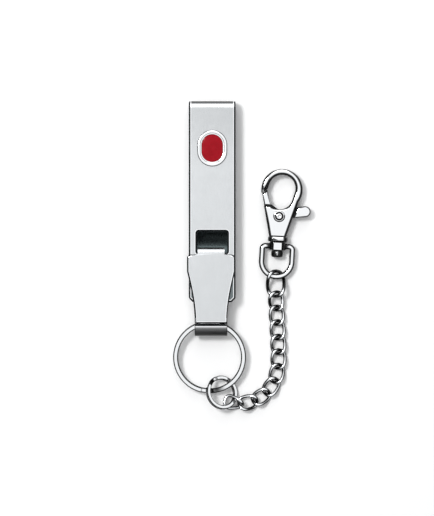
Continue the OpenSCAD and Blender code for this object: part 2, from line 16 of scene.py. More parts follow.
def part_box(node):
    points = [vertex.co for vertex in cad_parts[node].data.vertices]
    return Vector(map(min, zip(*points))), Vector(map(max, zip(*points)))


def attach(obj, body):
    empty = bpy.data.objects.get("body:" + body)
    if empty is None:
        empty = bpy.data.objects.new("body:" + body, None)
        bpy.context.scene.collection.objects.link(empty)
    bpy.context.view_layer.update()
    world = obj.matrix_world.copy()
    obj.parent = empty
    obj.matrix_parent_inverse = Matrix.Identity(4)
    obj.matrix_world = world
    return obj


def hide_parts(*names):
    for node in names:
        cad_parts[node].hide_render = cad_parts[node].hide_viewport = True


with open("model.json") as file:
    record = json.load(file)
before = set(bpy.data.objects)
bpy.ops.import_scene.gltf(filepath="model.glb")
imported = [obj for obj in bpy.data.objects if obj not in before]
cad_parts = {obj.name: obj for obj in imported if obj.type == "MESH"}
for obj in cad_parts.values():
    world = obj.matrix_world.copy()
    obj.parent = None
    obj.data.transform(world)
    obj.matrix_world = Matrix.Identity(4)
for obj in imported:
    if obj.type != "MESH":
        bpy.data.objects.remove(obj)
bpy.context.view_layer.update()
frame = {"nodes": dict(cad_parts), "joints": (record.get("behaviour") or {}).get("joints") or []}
nodes = frame["nodes"]
MM = 0.001
print("pieces in the drawing:", len(nodes))

# %% [markdown]
# ## The camera
# The object lies flat and is seen from straight above. A long lens keeps the
# perspective small, so the rings stay round. The picture is 434 by 516 points, and one
# point is 0.342 mm on the object, which gives the lens once the distance is chosen.

# %% Camera
PICTURE_HEIGHT = 516
POINT = 0.342 * MM
SENSOR = 36
CAMERA_DISTANCE = 0.9
clip_low, clip_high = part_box("belt_clip")
# the middle of the picture is a little right of the clip's middle, and far below its top
VIEW_CENTRE = Vector((1.64 * MM, clip_high.y - 53.6 * MM, 4.0 * MM))

camera_data = bpy.data.cameras.new("camera")
camera_data.sensor_width = SENSOR
camera_data.lens = SENSOR * CAMERA_DISTANCE / (PICTURE_HEIGHT * POINT)
camera_data.clip_start = 0.01
camera_data.clip_end = 20
camera = bpy.data.objects.new("camera", camera_data)
camera.location = VIEW_CENTRE + Vector((0, 0, CAMERA_DISTANCE))
bpy.context.collection.objects.link(camera)
bpy.context.scene.camera = camera
print("lens:", round(camera_data.lens, 1), "mm")

# %% [markdown]
# ## The studio
# Polished metal has almost no colour of its own: it shows what stands round it. A
# product photographer lights it with a large soft lamp in a white room, and stands a few
# low cards beside it. The white fills the faces that look up, and the cards give the
# lowest reflections a soft grey. The floor is plain white and takes the soft shadow.

# %% Materials of the studio
def set_inputs(node, inputs):
    """Gives each input a plain value, or links another node's output to it."""
    for key, value in inputs.items():
        socket = node.inputs[key]
        if isinstance(value, bpy.types.NodeSocket):
            node.id_data.links.new(value, socket)
        else:
            socket.default_value = value


def new_material(name):
    material = bpy.data.materials.new(name)
    material.use_nodes = True
    return material, material.node_tree.nodes["Principled BSDF"]


def matt(name, colour):
    material, shader = new_material(name)
    set_inputs(shader, {"Base Color": (*colour, 1), "Roughness": 1, "Specular IOR Level": 0})
    return material


floor_white = matt("floor_white", (0.97, 0.97, 0.97))
card_grey = matt("card_grey", (0.2, 0.2, 0.205))
print("studio materials:", floor_white.name, card_grey.name)

# %% Floor
FLOOR_Z = -0.12 * MM
FLOOR_SIZE = 6


def turned(degrees, axis):
    return Matrix.Rotation(math.radians(degrees), 4, axis)


def moved(bm, matrix):
    bmesh.ops.transform(bm, matrix=matrix, verts=bm.verts)


def stage_sheet(name, width, height, place, turn, material):
    """A flat sheet that belongs to the studio, not to the object."""
    mesh = bpy.data.meshes.new(name)
    bm = bmesh.new()
    bmesh.ops.create_grid(bm, x_segments=1, y_segments=1, size=0.5)
    bmesh.ops.scale(bm, vec=(width, height, 1), verts=bm.verts)
    moved(bm, Matrix.Translation(place) @ turn)
    bm.to_mesh(mesh)
    bm.free()
    sheet = bpy.data.objects.new(name, mesh)
    bpy.context.collection.objects.link(sheet)
    mesh.materials.append(material)
    return sheet


stage_sheet("floor", FLOOR_SIZE, FLOOR_SIZE, (0, 0, FLOOR_Z), Matrix.Identity(4), floor_white)
print("floor at", round(FLOOR_Z / MM, 2), "mm")

# %% Grey cards
CARD_DISTANCE = 0.45
CARDS_ROUND = Vector((0, -0.033, 0))


def grey_card(name, azimuth, half_angle, low, high):
    """A card that stands at an azimuth and is seen between two elevations, in degrees."""
    width = 2 * CARD_DISTANCE * math.tan(math.radians(half_angle))
    z_low = CARD_DISTANCE * math.tan(math.radians(low))
    z_high = CARD_DISTANCE * math.tan(math.radians(high))
    a = math.radians(azimuth)
    out = Vector((math.cos(a) * CARD_DISTANCE, math.sin(a) * CARD_DISTANCE, (z_low + z_high) / 2))
    turn = turned(azimuth + 90, "Z") @ turned(90, "X")
    card = stage_sheet(name, width, z_high - z_low, CARDS_ROUND + out, turn, card_grey)
    card.visible_camera = False
    card.visible_diffuse = False
    card.visible_shadow = False
    card.visible_transmission = False
    print(name, "is", round(width, 2), "m wide")


grey_card("card_front", 270, 48, 1, 30)
grey_card("card_right", -22, 36, 1, 26)
grey_card("card_left", 180, 30, 1, 30)

# %% Lamps
def lamp(name, place, width, height, brightness, aimed=True):
    """A soft lamp of an even brightness. White paper has a brightness of 1."""
    data = bpy.data.lights.new(name, "AREA")
    data.shape = "RECTANGLE"
    data.size = width
    data.size_y = height
    data.energy = brightness * math.pi * width * height
    soft = bpy.data.objects.new(name, data)
    soft.location = Vector(place) + VIEW_CENTRE
    if aimed:
        soft.rotation_euler = (VIEW_CENTRE - soft.location).to_track_quat("-Z", "Y").to_euler()
    bpy.context.collection.objects.link(soft)
    print(name, "gives", round(data.energy, 2), "W")
    return soft


# metal shows the white room, so the overhead box only gives its light
overhead_box = lamp("overhead_box", (-0.20, 0.14, 1.35), 1.20, 1.70, 1.25, aimed=False)
overhead_box.visible_glossy = False
lamp("back_wall", (0, 1.0, 0.62), 0.70, 1.16, 1.5)
lamp("key_lamp", (-0.36, 0.26, 0.95), 0.20, 0.20, 42)

# %% Sky
SKY_LIGHT = 0.26


def add_node(tree, kind, inputs, output=0, **settings):
    """Adds a shader node and gives one of its outputs."""
    node = tree.nodes.new("ShaderNode" + kind)
    for name, value in settings.items():
        setattr(node, name, value)
    set_inputs(node, inputs)
    return node.outputs[output]


world = bpy.data.worlds.new("sky")
bpy.context.scene.world = world
world.use_nodes = True
# the walls of the room are white, and metal shows them so, but they give little light
seen = add_node(world.node_tree, "LightPath", {}, "Is Camera Ray")
for kind in ("Is Glossy Ray", "Is Transmission Ray"):
    ray = add_node(world.node_tree, "LightPath", {}, kind)
    seen = add_node(world.node_tree, "Math", {0: seen, 1: ray}, operation="MAXIMUM")
level = add_node(world.node_tree, "MapRange", {"Value": seen, "To Min": SKY_LIGHT, "To Max": 1})
set_inputs(world.node_tree.nodes["Background"], {"Color": (0.97, 0.985, 1, 1), "Strength": level})
bpy.context.scene.view_settings.view_transform = "Standard"
print("studio ready, the sky lights at", SKY_LIGHT)

# %% [markdown]
# ## Finishes
# All the metals share one recipe: a metallic shader whose roughness and bump change a
# little from place to place, as grinding and polishing leave them. The recipe is one
# function, and each finish gives it its own colour, roughness and grain.
#
# In a photograph the roundings of a polished piece are dark lines, because they mirror
# the dark surroundings of the camera. Black cards could draw such lines, but they would
# wander when a piece turns. So the lines are painted on the piece itself, as painted dark
# reflections: a point attribute, facing, says how far a point looks to the front, and a
# painted reflection list turns it into a share of the colour. Side walls look sideways
# altogether and stay plain steel.

# %% Metal recipe
NOISE_LOW, NOISE_HIGH = 0.3, 0.7
CLOUDS_PER_METRE = 160
RELIEF = 0.02 * MM


def ramp(tree, value, stops):
    """Turns a value into a colour, by a list of (value, colour)."""
    node = tree.nodes.new("ShaderNodeValToRGB")
    elements = node.color_ramp.elements
    for index, (spot, colour) in enumerate((stops[0], stops[-1])):
        elements[index].position = spot
        elements[index].color = (*colour, 1)
    for spot, colour in stops[1:-1]:
        elements.new(spot).color = (*colour, 1)
    tree.links.new(value, node.inputs[0])
    return node.outputs[0]


def times(tree, first, second):
    return add_node(tree, "VectorMath", {0: first, 1: second}, operation="MULTIPLY")


def metal(name, colour, rough, grain, tone_change, painted_reflection=None, painted_gradient=None):
    """A metal with fine grain. rough is (roughness, its change), and grain is (lines per
    metre, how far they are drawn out along Y, bump). painted_reflection lists (facing, share
    of the colour): painted dark reflections by how far a point faces the front.
    painted_gradient is (share, y where it starts, y where it has gone): a painted reflection,
    a slow change of tone along the piece."""
    material, shader = new_material(name)
    tree = material.node_tree
    middle, change = rough
    lines, drawn, bump = grain
    place = add_node(tree, "TexCoord", {}, "Object")
    along = add_node(tree, "Mapping", {"Vector": place, "Scale": (lines, lines / drawn, lines)})
    fine = add_node(tree, "TexNoise", {"Vector": along, "Scale": 1, "Detail": 3}, "Fac")
    cloudy = add_node(tree, "TexNoise", {"Vector": place, "Scale": CLOUDS_PER_METRE, "Detail": 2}, "Fac")
    rough_here = add_node(tree, "MapRange", {
        "Value": fine, "From Min": NOISE_LOW, "From Max": NOISE_HIGH,
        "To Min": middle - change, "To Max": middle + change,
    })
    both = add_node(tree, "Math", {0: fine, 1: cloudy}, operation="ADD")
    mean = add_node(tree, "Math", {0: both, 1: 0.5}, operation="MULTIPLY")
    darker = [c * (1 - tone_change) for c in colour]
    lighter = [min(c * (1 + tone_change), 1) for c in colour]
    tone = ramp(tree, mean, [(NOISE_LOW, darker), (NOISE_HIGH, lighter)])
    if painted_reflection:
        facing = add_node(tree, "Attribute", {}, "Fac", attribute_name="facing")
        tone = times(tree, tone, ramp(tree, facing, [(spot, [share] * 3) for spot, share in painted_reflection]))
    if painted_gradient:
        share, start, gone = painted_gradient
        y = add_node(tree, "SeparateXYZ", {0: place}, "Y")
        fade = add_node(tree, "MapRange", {
            "Value": y, "From Min": start, "From Max": gone, "To Min": share, "To Max": 1,
        }, interpolation_type="SMOOTHSTEP")
        tone = times(tree, tone, fade)
    relief = add_node(tree, "Bump", {"Strength": bump, "Distance": RELIEF, "Height": fine})
    set_inputs(shader, {"Metallic": 1, "Base Color": tone, "Roughness": rough_here, "Normal": relief})
    return material


print("one recipe, with", CLOUDS_PER_METRE, "clouds of tone per metre")

# %% [markdown]
# ## Painted reflection lists
# Each list starts with the side wall, goes down to the painted dark line and up to the
# polished face. On a link of the chain the painted dark line is narrower than on a thick
# casting. The bends of the strips mirror one part of the room after another, so theirs has
# painted bands of reflection, dark and bright.

# %% Painted reflection lists
CAST_PAINTED_REFLECTION = [(0, 0.6), (0.13, 0.6), (0.22, 0.02), (0.90, 0.03), (0.985, 1)]
WIRE_PAINTED_REFLECTION = [(0, 0.6), (0.15, 0.6), (0.26, 0.02), (0.88, 0.03), (0.975, 1)]
RING_PAINTED_REFLECTION = [(0, 0.6), (0.1, 0.6), (0.2, 0.012), (0.98, 0.015), (0.999, 1)]
LINK_PAINTED_REFLECTION = [(0, 0.6), (0.15, 0.6), (0.26, 0.02), (0.79, 0.03), (0.93, 1)]
RIM_PAINTED_REFLECTION = [(0, 0.6), (0.1, 0.6), (0.2, 0.02), (0.7, 0.04), (0.88, 1)]
BEND_PAINTED_REFLECTION = [
    (0, 0.66), (0.12, 0.66), (0.19, 0.015), (0.6, 0.02), (0.67, 0.43), (0.766, 0.43),
    (0.83, 0.4), (0.86, 0.83), (0.883, 1), (0.927, 0.88), (0.96, 0.8), (1, 0.74),
]
LOOP_PAINTED_REFLECTION = [
    (0, 0.6), (0.1, 0.6), (0.2, 0.02), (0.5, 0.02), (0.64, 0.04), (0.74, 0.09), (0.79, 0.13),
    (0.87, 0.13), (0.9, 0.12), (0.94, 0.14), (0.975, 0.3), (0.99, 0.9), (0.996, 1),
]
print("bands on the top bend:", len(BEND_PAINTED_REFLECTION), "on the loop:", len(LOOP_PAINTED_REFLECTION))

# %% Metals
POLISHED = (2500, 1, 0.04)
# painted reflection: the plate is painted a little darker near its top bend than further down
PLATE_PAINTED_GRADIENT = (0.85, clip_high.y - 5 * MM, clip_high.y - 24 * MM)
satin_face = metal("satin_face", (0.85, 0.865, 0.875), (0.22, 0.03), (9000, 14, 0.2), 0.025,
                   BEND_PAINTED_REFLECTION, PLATE_PAINTED_GRADIENT)
# painted highlight: a brighter steel for the shining lines of the roundings and the bright band inside
# them
painted_highlight_steel = metal("painted_highlight_steel", (0.95, 0.955, 0.96), (0.16, 0.03), (5000, 1, 0.05), 0.01)
# painted dark reflection: a near-black steel for the dark lines of the roundings, the dark band inside
# them and the painted shade on the loop under the tab
painted_dark_steel = metal("painted_dark_steel", (0.014, 0.0155, 0.017), (0.34, 0.06), (12000, 1, 0.3), 0.12)
chrome = metal("chrome", (0.94, 0.945, 0.95), (0.09, 0.03), POLISHED, 0.015, CAST_PAINTED_REFLECTION)
wire_chrome = metal("wire_chrome", (0.95, 0.955, 0.96), (0.1, 0.03), POLISHED, 0.015, WIRE_PAINTED_REFLECTION)
ring_chrome = metal("ring_chrome", (0.97, 0.975, 0.98), (0.1, 0.03), POLISHED, 0.015, RING_PAINTED_REFLECTION)
link_chrome = metal("link_chrome", (0.93, 0.94, 0.95), (0.12, 0.04), POLISHED, 0.03, LINK_PAINTED_REFLECTION)
rim_chrome = metal("rim_chrome", (0.97, 0.975, 0.98), (0.1, 0.03), POLISHED, 0.015, RIM_PAINTED_REFLECTION)
drawn_steel = metal("drawn_steel", (0.98, 0.985, 0.99), (0.3, 0.04), (9000, 20, 0.2), 0.04, LOOP_PAINTED_REFLECTION)
# painted shade: a dark steel for the plate's face under the tab
painted_tab_shade_steel = metal("painted_tab_shade_steel", (0.13, 0.15, 0.155), (0.34, 0.05), (9000, 14, 0.3), 0.12)
side_steel = metal("side_steel", (0.52, 0.53, 0.54), (0.32, 0.05), (9000, 1, 0.25), 0.06)
dark_steel = metal("dark_steel", (0.42, 0.43, 0.44), (0.3, 0.05), (4000, 1, 0.1), 0.05)
# painted shade: a dark steel for the faces between the plate and the leg
painted_gap_shade_steel = metal("painted_gap_shade_steel", (0.085, 0.105, 0.108), (0.3, 0.06), (4000, 6, 0.1), 0.15)
print("finishes:", len(bpy.data.materials))

# %% [markdown]
# ## Enamel
# Enamel is coloured glass that is melted on metal. Its red is a little deeper where the
# melt pooled, and its skin is slightly wavy. One noise gives all three: the tone, the
# gloss and the waves, so that they belong together.

# %% Enamel
POOLS_PER_METRE = 450
WAVES = 0.04 * MM


def enamel(name, thin, deep):
    material, shader = new_material(name)
    tree = material.node_tree
    place = add_node(tree, "TexCoord", {}, "Object")
    pools = add_node(tree, "TexNoise", {"Vector": place, "Scale": POOLS_PER_METRE, "Detail": 4}, "Fac")
    tone = ramp(tree, pools, [(0.35, deep), (0.65, thin)])
    skin = add_node(tree, "MapRange", {"Value": pools, "To Min": 0.08, "To Max": 0.2})
    waves = add_node(tree, "Bump", {"Strength": 0.15, "Distance": WAVES, "Height": pools})
    set_inputs(shader, {"Base Color": tone, "Roughness": skin, "Normal": waves, "Specular IOR Level": 0.1})
    return material


enamel_red = enamel("enamel_red", (0.335, 0.005, 0.013), (0.29, 0.004, 0.010))
print("pools of enamel per metre:", POOLS_PER_METRE)

# %% [markdown]
# ## Helpers
# A stamped or cast piece never has a knife-sharp edge. A solid of the drawing is made of
# loose triangles, so they are joined into whole faces before its sharp edges are
# rounded. The faces of the rounding are kept, so that an edge can get its own finish.

# %% Whole faces and rounded edges
SAME_SPOT = 0.002
FOLD = 28
CORNERS = 40


def edges_of(geom):
    return [g for g in geom if isinstance(g, bmesh.types.BMEdge)]


def verts_of(geom):
    return [g for g in geom if isinstance(g, bmesh.types.BMVert)]


def outward(bm):
    """Turns the faces' normals outward."""
    bmesh.ops.recalc_face_normals(bm, faces=bm.faces)


def weld(bm, distance):
    """Joins points that lie closer together than a distance."""
    bmesh.ops.remove_doubles(bm, verts=bm.verts, dist=distance)


def solid_of(node):
    """A copy of a solid, with its points joined."""
    bm = bmesh.new()
    bm.from_mesh(nodes[node].data)
    weld(bm, SAME_SPOT * MM)
    return bm


def whole_faces(node):
    """A copy of a solid, with its triangles joined into whole faces."""
    bm = solid_of(node)
    bmesh.ops.dissolve_limit(bm, angle_limit=math.radians(0.6), verts=bm.verts, edges=bm.edges)
    return bm


def sharp_edges(bm, angle):
    return [e for e in bm.edges if len(e.link_faces) == 2 and e.calc_face_angle(0) > math.radians(angle)]


def rounded(bm, geom, radius, segments, affect="EDGES"):
    return bmesh.ops.bevel(
        bm, geom=geom, offset=radius, offset_type="OFFSET", segments=segments,
        profile=0.5, affect=affect, material=-1, clamp_overlap=False,
    )["faces"]


def cut(bm, geom, place, way):
    """Cuts faces along a plane."""
    bmesh.ops.bisect_plane(bm, geom=geom, plane_co=place, plane_no=way)


sample = whole_faces("latch_tab")
print("tab: faces", len(sample.faces), "sharp edges", len(sharp_edges(sample, FOLD)))
sample.free()

# %% [markdown]
# ## Which piece moves with what
# The drawing says which solid belongs to which moving body. A new piece takes the body
# of the solid that it stands for. Before it is shown, each of its points learns how far
# it faces the front, for the polish lists.

# %% Bodies
LINKS = range(1, 11)
BODY = {
    "belt_clip": "belt_clip", "badge_rim": "belt_clip", "badge_enamel": "belt_clip",
    "ring_loop": "key_holder", "latch_tab": "latch", "split_ring": "key_ring",
    "chain_ring": "small_ring", "connector_link": "connector", "swivel_eye": "eye",
    "hook_body": "hook", "gate_rivet": "hook", "gate_lever": "gate",
}
for i in LINKS:
    BODY[f"chain_link_{i:02d}"] = f"link_{i:02d}"
print("bodies:", len(set(BODY.values())))

# %% Finished pieces
ALL_SMOOTH = 180


def note_facing(mesh, front=(0, 0, 1), own_rule=None):
    """Writes on each point how far it faces the front: 1 on the flat front, 0 on a side."""
    facing = mesh.attributes.new("facing", "FLOAT", "POINT")
    values = [abs(n.vector.dot(front)) for n in mesh.vertex_normals]
    if own_rule:
        points = zip(mesh.vertices, mesh.vertex_normals, values)
        values = [own_rule(v.co, n.vector, value) for v, n, value in points]
    facing.data.foreach_set("value", values)


def finished(bm, name, node, materials, smooth_angle=32, front=(0, 0, 1), own_rule=None):
    """Makes an object of a shape, in the place of one solid of the drawing."""
    mesh = bpy.data.meshes.new(name)
    bm.to_mesh(mesh)
    bm.free()
    for material in materials:
        mesh.materials.append(material)
    mesh.shade_smooth()
    mesh.set_sharp_from_angle(angle=math.radians(smooth_angle))
    note_facing(mesh, front, own_rule)
    piece = bpy.data.objects.new(name, mesh)
    bpy.context.collection.objects.link(piece)
    if smooth_angle < ALL_SMOOTH:
        flat = piece.modifiers.new("flat_faces_stay_flat", "WEIGHTED_NORMAL")
        flat.keep_sharp = True
        flat.weight = 100
    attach(piece, BODY[node])
    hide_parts(node)
    print(name, "faces:", len(mesh.polygons))
    return piece


print("solids that get a finished piece:", len(BODY))

# %% [markdown]
# ## The clip
# The clip is one strip of spring steel, bent over at the top. Its faces are brushed, and
# its edges are tumbled. The part of the rounding next to the face gets a painted highlight,
# and the outer part a painted dark reflection. In the drawing its side is one face with the
# whole profile. That face is drawn out to the strip's width and the window is cut again,
# because this leaves clean long edges to round, which a mesh of triangles doesn't have.

# %% Where the parts of the strip lie
TINY = 0.01 * MM
CORNER = 1.4 * MM
# the leg lies low, and its tip ends before the plate does
LEG_TOP = 2 * MM
TIP_Y = -37.5 * MM
TIP_MIDDLE = 0.7 * MM
PLATE_ONLY_Y = -40 * MM
LEG_END_Y = -36.5 * MM
LEG_RUN_Y = -35.8 * MM
PLATE_FRONT = clip_high.z - TINY
PLATE_BACK = PLATE_FRONT - 1.1 * MM
# the window is looked for in the middle of the plate
WINDOW_REACH = 6 * MM
WINDOW_ZONE = (-35 * MM, -15 * MM)


def window_of(bm):
    """The window's sides, read from the drawing: half its width, its lower and its upper edge."""
    low, high = WINDOW_ZONE
    front = [v.co for v in bm.verts if v.co.z > PLATE_FRONT and low < v.co.y < high]
    rim = [c for c in front if abs(c.x) < WINDOW_REACH]
    return max(c.x for c in rim), min(c.y for c in rim), max(c.y for c in rim)


print("plate's front face at", round(clip_high.z / MM, 2), "mm")

# %% The profile, drawn out
def keep_profile(bm):
    """Leaves only the side face, and fills in the corners that the drawing cuts off both ends
    of the strip, so that the profile reaches its full length."""
    bm.normal_update()
    inner = clip_high.x - CORNER * 0.9
    tip = [v.co for v in bm.verts if v.co.z < LEG_TOP and abs(v.co.x) < inner and v.co.y < TIP_Y]
    tip_low = min(tip, key=lambda c: c.z).copy()
    tip_high = max(tip, key=lambda c: c.z).copy()
    side = max((f for f in bm.faces if f.normal.x > 0.99), key=lambda f: f.calc_area())
    bmesh.ops.delete(bm, geom=[f for f in bm.faces if f != side], context="FACES")
    weld(bm, 10 * TINY)
    for v in bm.verts:
        if v.co.y < PLATE_ONLY_Y:
            v.co.y = clip_low.y
        elif v.co.y < LEG_END_Y:
            v.co.yz = tip_low.yz if v.co.z < TIP_MIDDLE else tip_high.yz
    close_by = [v for v in bm.verts if LEG_END_Y < v.co.y < LEG_RUN_Y and v.co.z < LEG_TOP]
    bmesh.ops.dissolve_verts(bm, verts=close_by)


def draw_out_profile(bm):
    drawn = bmesh.ops.extrude_face_region(bm, geom=bm.faces[:], use_keep_orig=True)
    bmesh.ops.translate(bm, vec=(-2 * clip_high.x, 0, 0), verts=verts_of(drawn["geom"]))
    outward(bm)
    bm.normal_update()


print("the strip is", round(2 * clip_high.x / MM, 2), "mm wide")

# %% The window
ACROSS = (1, 0, 0)
ALONG = (0, 1, 0)


def with_rims(faces):
    """Faces with their edges and points."""
    edges = dict.fromkeys(e for f in faces for e in f.edges)
    verts = dict.fromkeys(v for f in faces for v in f.verts)
    return faces + [*edges] + [*verts]


def plate_part(bm):
    """The plate's flat front and back faces."""
    flat = [f for f in bm.faces if abs(f.normal.z) > 0.99]
    return [f for f in flat if all(v.co.z > PLATE_BACK for v in f.verts)]


def cut_window(bm, half, low, high):
    """Cuts both faces of the plate along the window's sides, takes the middle out and joins
    the two openings. The traces that the cuts leave beside the window are dissolved."""
    middle = (low + high) / 2
    for place, way in [((0, 0, 0), ACROSS), ((0, middle, 0), ALONG), ((half, 0, 0), ACROSS),
                       ((-half, 0, 0), ACROSS), ((0, low, 0), ALONG), ((0, high, 0), ALONG)]:
        cut(bm, with_rims(plate_part(bm)), place, way)
    cut_out = []
    for face in plate_part(bm):
        c = face.calc_center_median()
        if abs(c.x) < half - TINY and low + TINY < c.y < high - TINY:
            cut_out.append(face)
    bmesh.ops.delete(bm, geom=cut_out, context="FACES")
    bmesh.ops.bridge_loops(bm, edges=[e for e in bm.edges if e.is_boundary])
    bm.normal_update()

    def is_trace(edge):
        a, b = (v.co for v in edge.verts)
        if edge.calc_face_angle(1) > 0.01 or abs(a.z - b.z) > TINY:
            return False
        along_y = abs(abs(a.x) - half) < TINY and abs(a.x - b.x) < TINY
        along_x = min(abs(a.y - low), abs(a.y - high)) < TINY and abs(a.y - b.y) < TINY
        return along_x or along_y

    traces = [e for e in bm.edges if len(e.link_faces) == 2 and is_trace(e)]
    bmesh.ops.dissolve_edges(bm, edges=traces, use_verts=False)
    print("window:", round(2 * half / MM, 2), "by", round((high - low) / MM, 2), "mm")


# %% The whole strip
WINDOW_CORNER = 0.6 * MM
TIP_END_Y = -37.9 * MM


def bend_strip():
    bm = whole_faces("belt_clip")
    half, low, high = window_of(bm)
    keep_profile(bm)
    draw_out_profile(bm)
    cut_window(bm, half, low, high)

    def upright(x, y):
        def there(v):
            return abs(abs(v.co.x) - x) < TINY and abs(v.co.y - y) < TINY and v.co.z > PLATE_BACK
        return [e for e in bm.edges if all(there(v) for v in e.verts)]

    def at_tip(v):
        return abs(abs(v.co.x) - clip_high.x) < TINY and v.co.z < LEG_TOP and v.co.y < TIP_END_Y

    rounded(bm, upright(half, low) + upright(half, high), WINDOW_CORNER, 6)
    rounded(bm, upright(clip_high.x, clip_low.y), CORNER, 1)
    rounded(bm, [e for e in bm.edges if all(at_tip(v) for v in e.verts)], CORNER, 1)
    print("strip faces:", len(bm.faces), "open edges:", len([e for e in bm.edges if e.is_boundary]))
    return bm


clip_shape = bend_strip()

# %% [markdown]
# ## Edges of the sheet
# Tumbling rounds a stamped edge, and its thin lines of light and dark are painted on. The
# same rule serves the clip, the tab and the loop: a face of the rounding that is nearly
# flat gets a painted highlight, a steeper one a painted dark reflection, and a side wall is
# plain steel. On the clip two narrow painted bands follow inside the rounding, one dark and
# one bright.

# %% Painted light on an edge
FACE, PAINTED_HIGHLIGHT, PAINTED_DARK, SIDE, PAINTED_GAP_SHADE, PAINTED_TAB_SHADE = range(6)
# painted highlight, painted dark reflection and plain side steel
EDGE_TONES = [painted_highlight_steel, painted_dark_steel, side_steel]
SIDE_SHINE = math.sin(math.radians(5))
SIDE_DARK = math.sin(math.radians(80))


# gives a face of a rounding its painted highlight, its painted dark reflection or plain side steel
def edge_light_tone(steep, shine=SIDE_SHINE):
    """steep is 0 on a face that looks to the front and 1 on a side wall."""
    if steep < shine:
        return PAINTED_HIGHLIGHT
    return PAINTED_DARK if steep < SIDE_DARK else SIDE


print("finish of a face that leans by 30 degrees:", edge_light_tone(0.5))

# %% Clip strip
EDGE_ROUND = 0.48 * MM
# beyond this the rounding belongs to the strip's long sides
FLANK_X = 7.4 * MM
FLANK_END_Y = clip_low.y + 1.5 * MM
# a painted dark band, then a painted highlight band
BANDS = [(0.12 * MM, PAINTED_DARK), (0.24 * MM, PAINTED_HIGHLIGHT)]
# below this line the tab covers the plate, and the plate's face there is painted dark as the tab's shade
TAB_SHADE_Y = clip_high.y - 57.7 * MM
BEND_Y = 22 * MM
PLATE_MIDDLE = PLATE_FRONT - 0.5 * MM
GAP_MIDDLE = PLATE_MIDDLE - 1.2 * MM


# paints each face of the rounding with a highlight, a dark reflection or plain side steel
def paint_edge_light(bm, rounding):
    for face in rounding:
        n, c = face.normal, face.calc_center_median()
        on_flank = abs(c.x) > FLANK_X and c.y > FLANK_END_Y
        face.material_index = edge_light_tone(abs(n.x) if on_flank else math.hypot(n.x, n.y))


def add_bands(bm):
    """Narrow painted bands inside the rounding, one dark and one bright, on every face but those of the
    strip's two ends.
    """
    broad = [f for f in bm.faces if f.material_index == FACE and abs(f.normal.x) < 0.1]
    broad = [f for f in broad if abs(f.normal.y) < 0.9 or f.calc_center_median().y > 0]
    for width, finish in BANDS:
        band = bmesh.ops.inset_region(
            bm, faces=broad, thickness=width, use_boundary=True, use_even_offset=True,
        )
        for face in band["faces"]:
            face.material_index = finish


def paint_shade_and_sides(bm):
    """Painted shade under the tab and between the plate and the leg, and plain steel on the side walls."""
    cut(bm, with_rims(plate_part(bm)), (0, TAB_SHADE_Y, 0), ALONG)
    for face in bm.faces:
        n, c = face.normal, face.calc_center_median()
        in_front = n.z > 0.9 and c.z > PLATE_FRONT - 0.1 * MM
        faces_plate = n.z > 0.5 and c.z < PLATE_MIDDLE
        faces_leg = n.z < -0.5 and c.z > GAP_MIDDLE
        if abs(n.x) > SIDE_DARK:
            face.material_index = SIDE
        # painted shade between the plate and the leg
        elif c.y < BEND_Y and (faces_plate or faces_leg):
            face.material_index = PAINTED_GAP_SHADE
        # painted shade under the tab
        elif face.material_index == FACE and in_front and c.y < TAB_SHADE_Y:
            face.material_index = PAINTED_TAB_SHADE


def dress_clip(bm):
    rounding = rounded(bm, sharp_edges(bm, FOLD), EDGE_ROUND, 6)
    for v in bm.verts:
        v.co.x = max(min(v.co.x, clip_high.x), clip_low.x)
        v.co.z = max(v.co.z, clip_low.z)
    bm.normal_update()
    paint_edge_light(bm, rounding)
    add_bands(bm)
    paint_shade_and_sides(bm)
    finished(bm, "clip_strip", "belt_clip",
             [satin_face] + EDGE_TONES + [painted_gap_shade_steel, painted_tab_shade_steel])


dress_clip(clip_shape)

# %% [markdown]
# ## The tab
# The tab is stamped: a broad soft rounding runs round its two wings, and the tongue at
# its upper end is bent down into the window. The solid has the right outline, so only
# its edges are worked: a broad rounding in front, a small one elsewhere. The left edge has
# a narrower painted highlight and a wider painted dark reflection than the others, so the
# tab's left side is painted darker.

# %% Tab
TAB_SHINE = math.sin(math.radians(26))
LEFT_SHINE = math.sin(math.radians(9))
TONGUE = 2.4 * MM
TAB_ROUND = 0.7 * MM
TAB_EDGE = 0.14 * MM


def dress_tab():
    bm = whole_faces("latch_tab")
    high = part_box("latch_tab")[1]
    tongue_y = high.y - TONGUE

    def in_front(v):
        return v.co.z > high.z - 0.02 * MM and v.co.y < tongue_y

    front = [e for e in sharp_edges(bm, FOLD) if all(in_front(v) for v in e.verts)]
    rounding = rounded(bm, front, TAB_ROUND, 8)
    rounding += rounded(bm, sharp_edges(bm, 50), TAB_EDGE, 3)
    bm.normal_update()
    for face in [f for f in rounding if f.is_valid]:
        n, c = face.normal, face.calc_center_median()
        steep = abs(n.x) if c.y > tongue_y else math.hypot(n.x, n.y)
        # a rounding that looks left turns to painted dark sooner: the left side is painted darker, as a
        # darker reflection
        face.material_index = edge_light_tone(steep, LEFT_SHINE if n.x < -0.1 else TAB_SHINE)
    for face in bm.faces:
        upright = math.hypot(face.normal.x, face.normal.y) > SIDE_DARK
        if upright and face.calc_center_median().y < tongue_y:
            face.material_index = SIDE
    finished(bm, "tab_strip", "latch_tab", [satin_face] + EDGE_TONES)


dress_tab()

# %% [markdown]
# ## The loop
# The loop is the lower bend of the key holder, which carries the key ring. Close under
# the tab it is almost black, because no light gets in between the two. The lamps here
# are too soft to draw such a narrow line, so it is a strip of dark faces.

# %% Loop
LOOP_SHADE = 0.95 * MM
LOOP_FRONT_Z = 7 * MM


def everything(bm):
    return bm.verts[:] + bm.edges[:] + bm.faces[:]


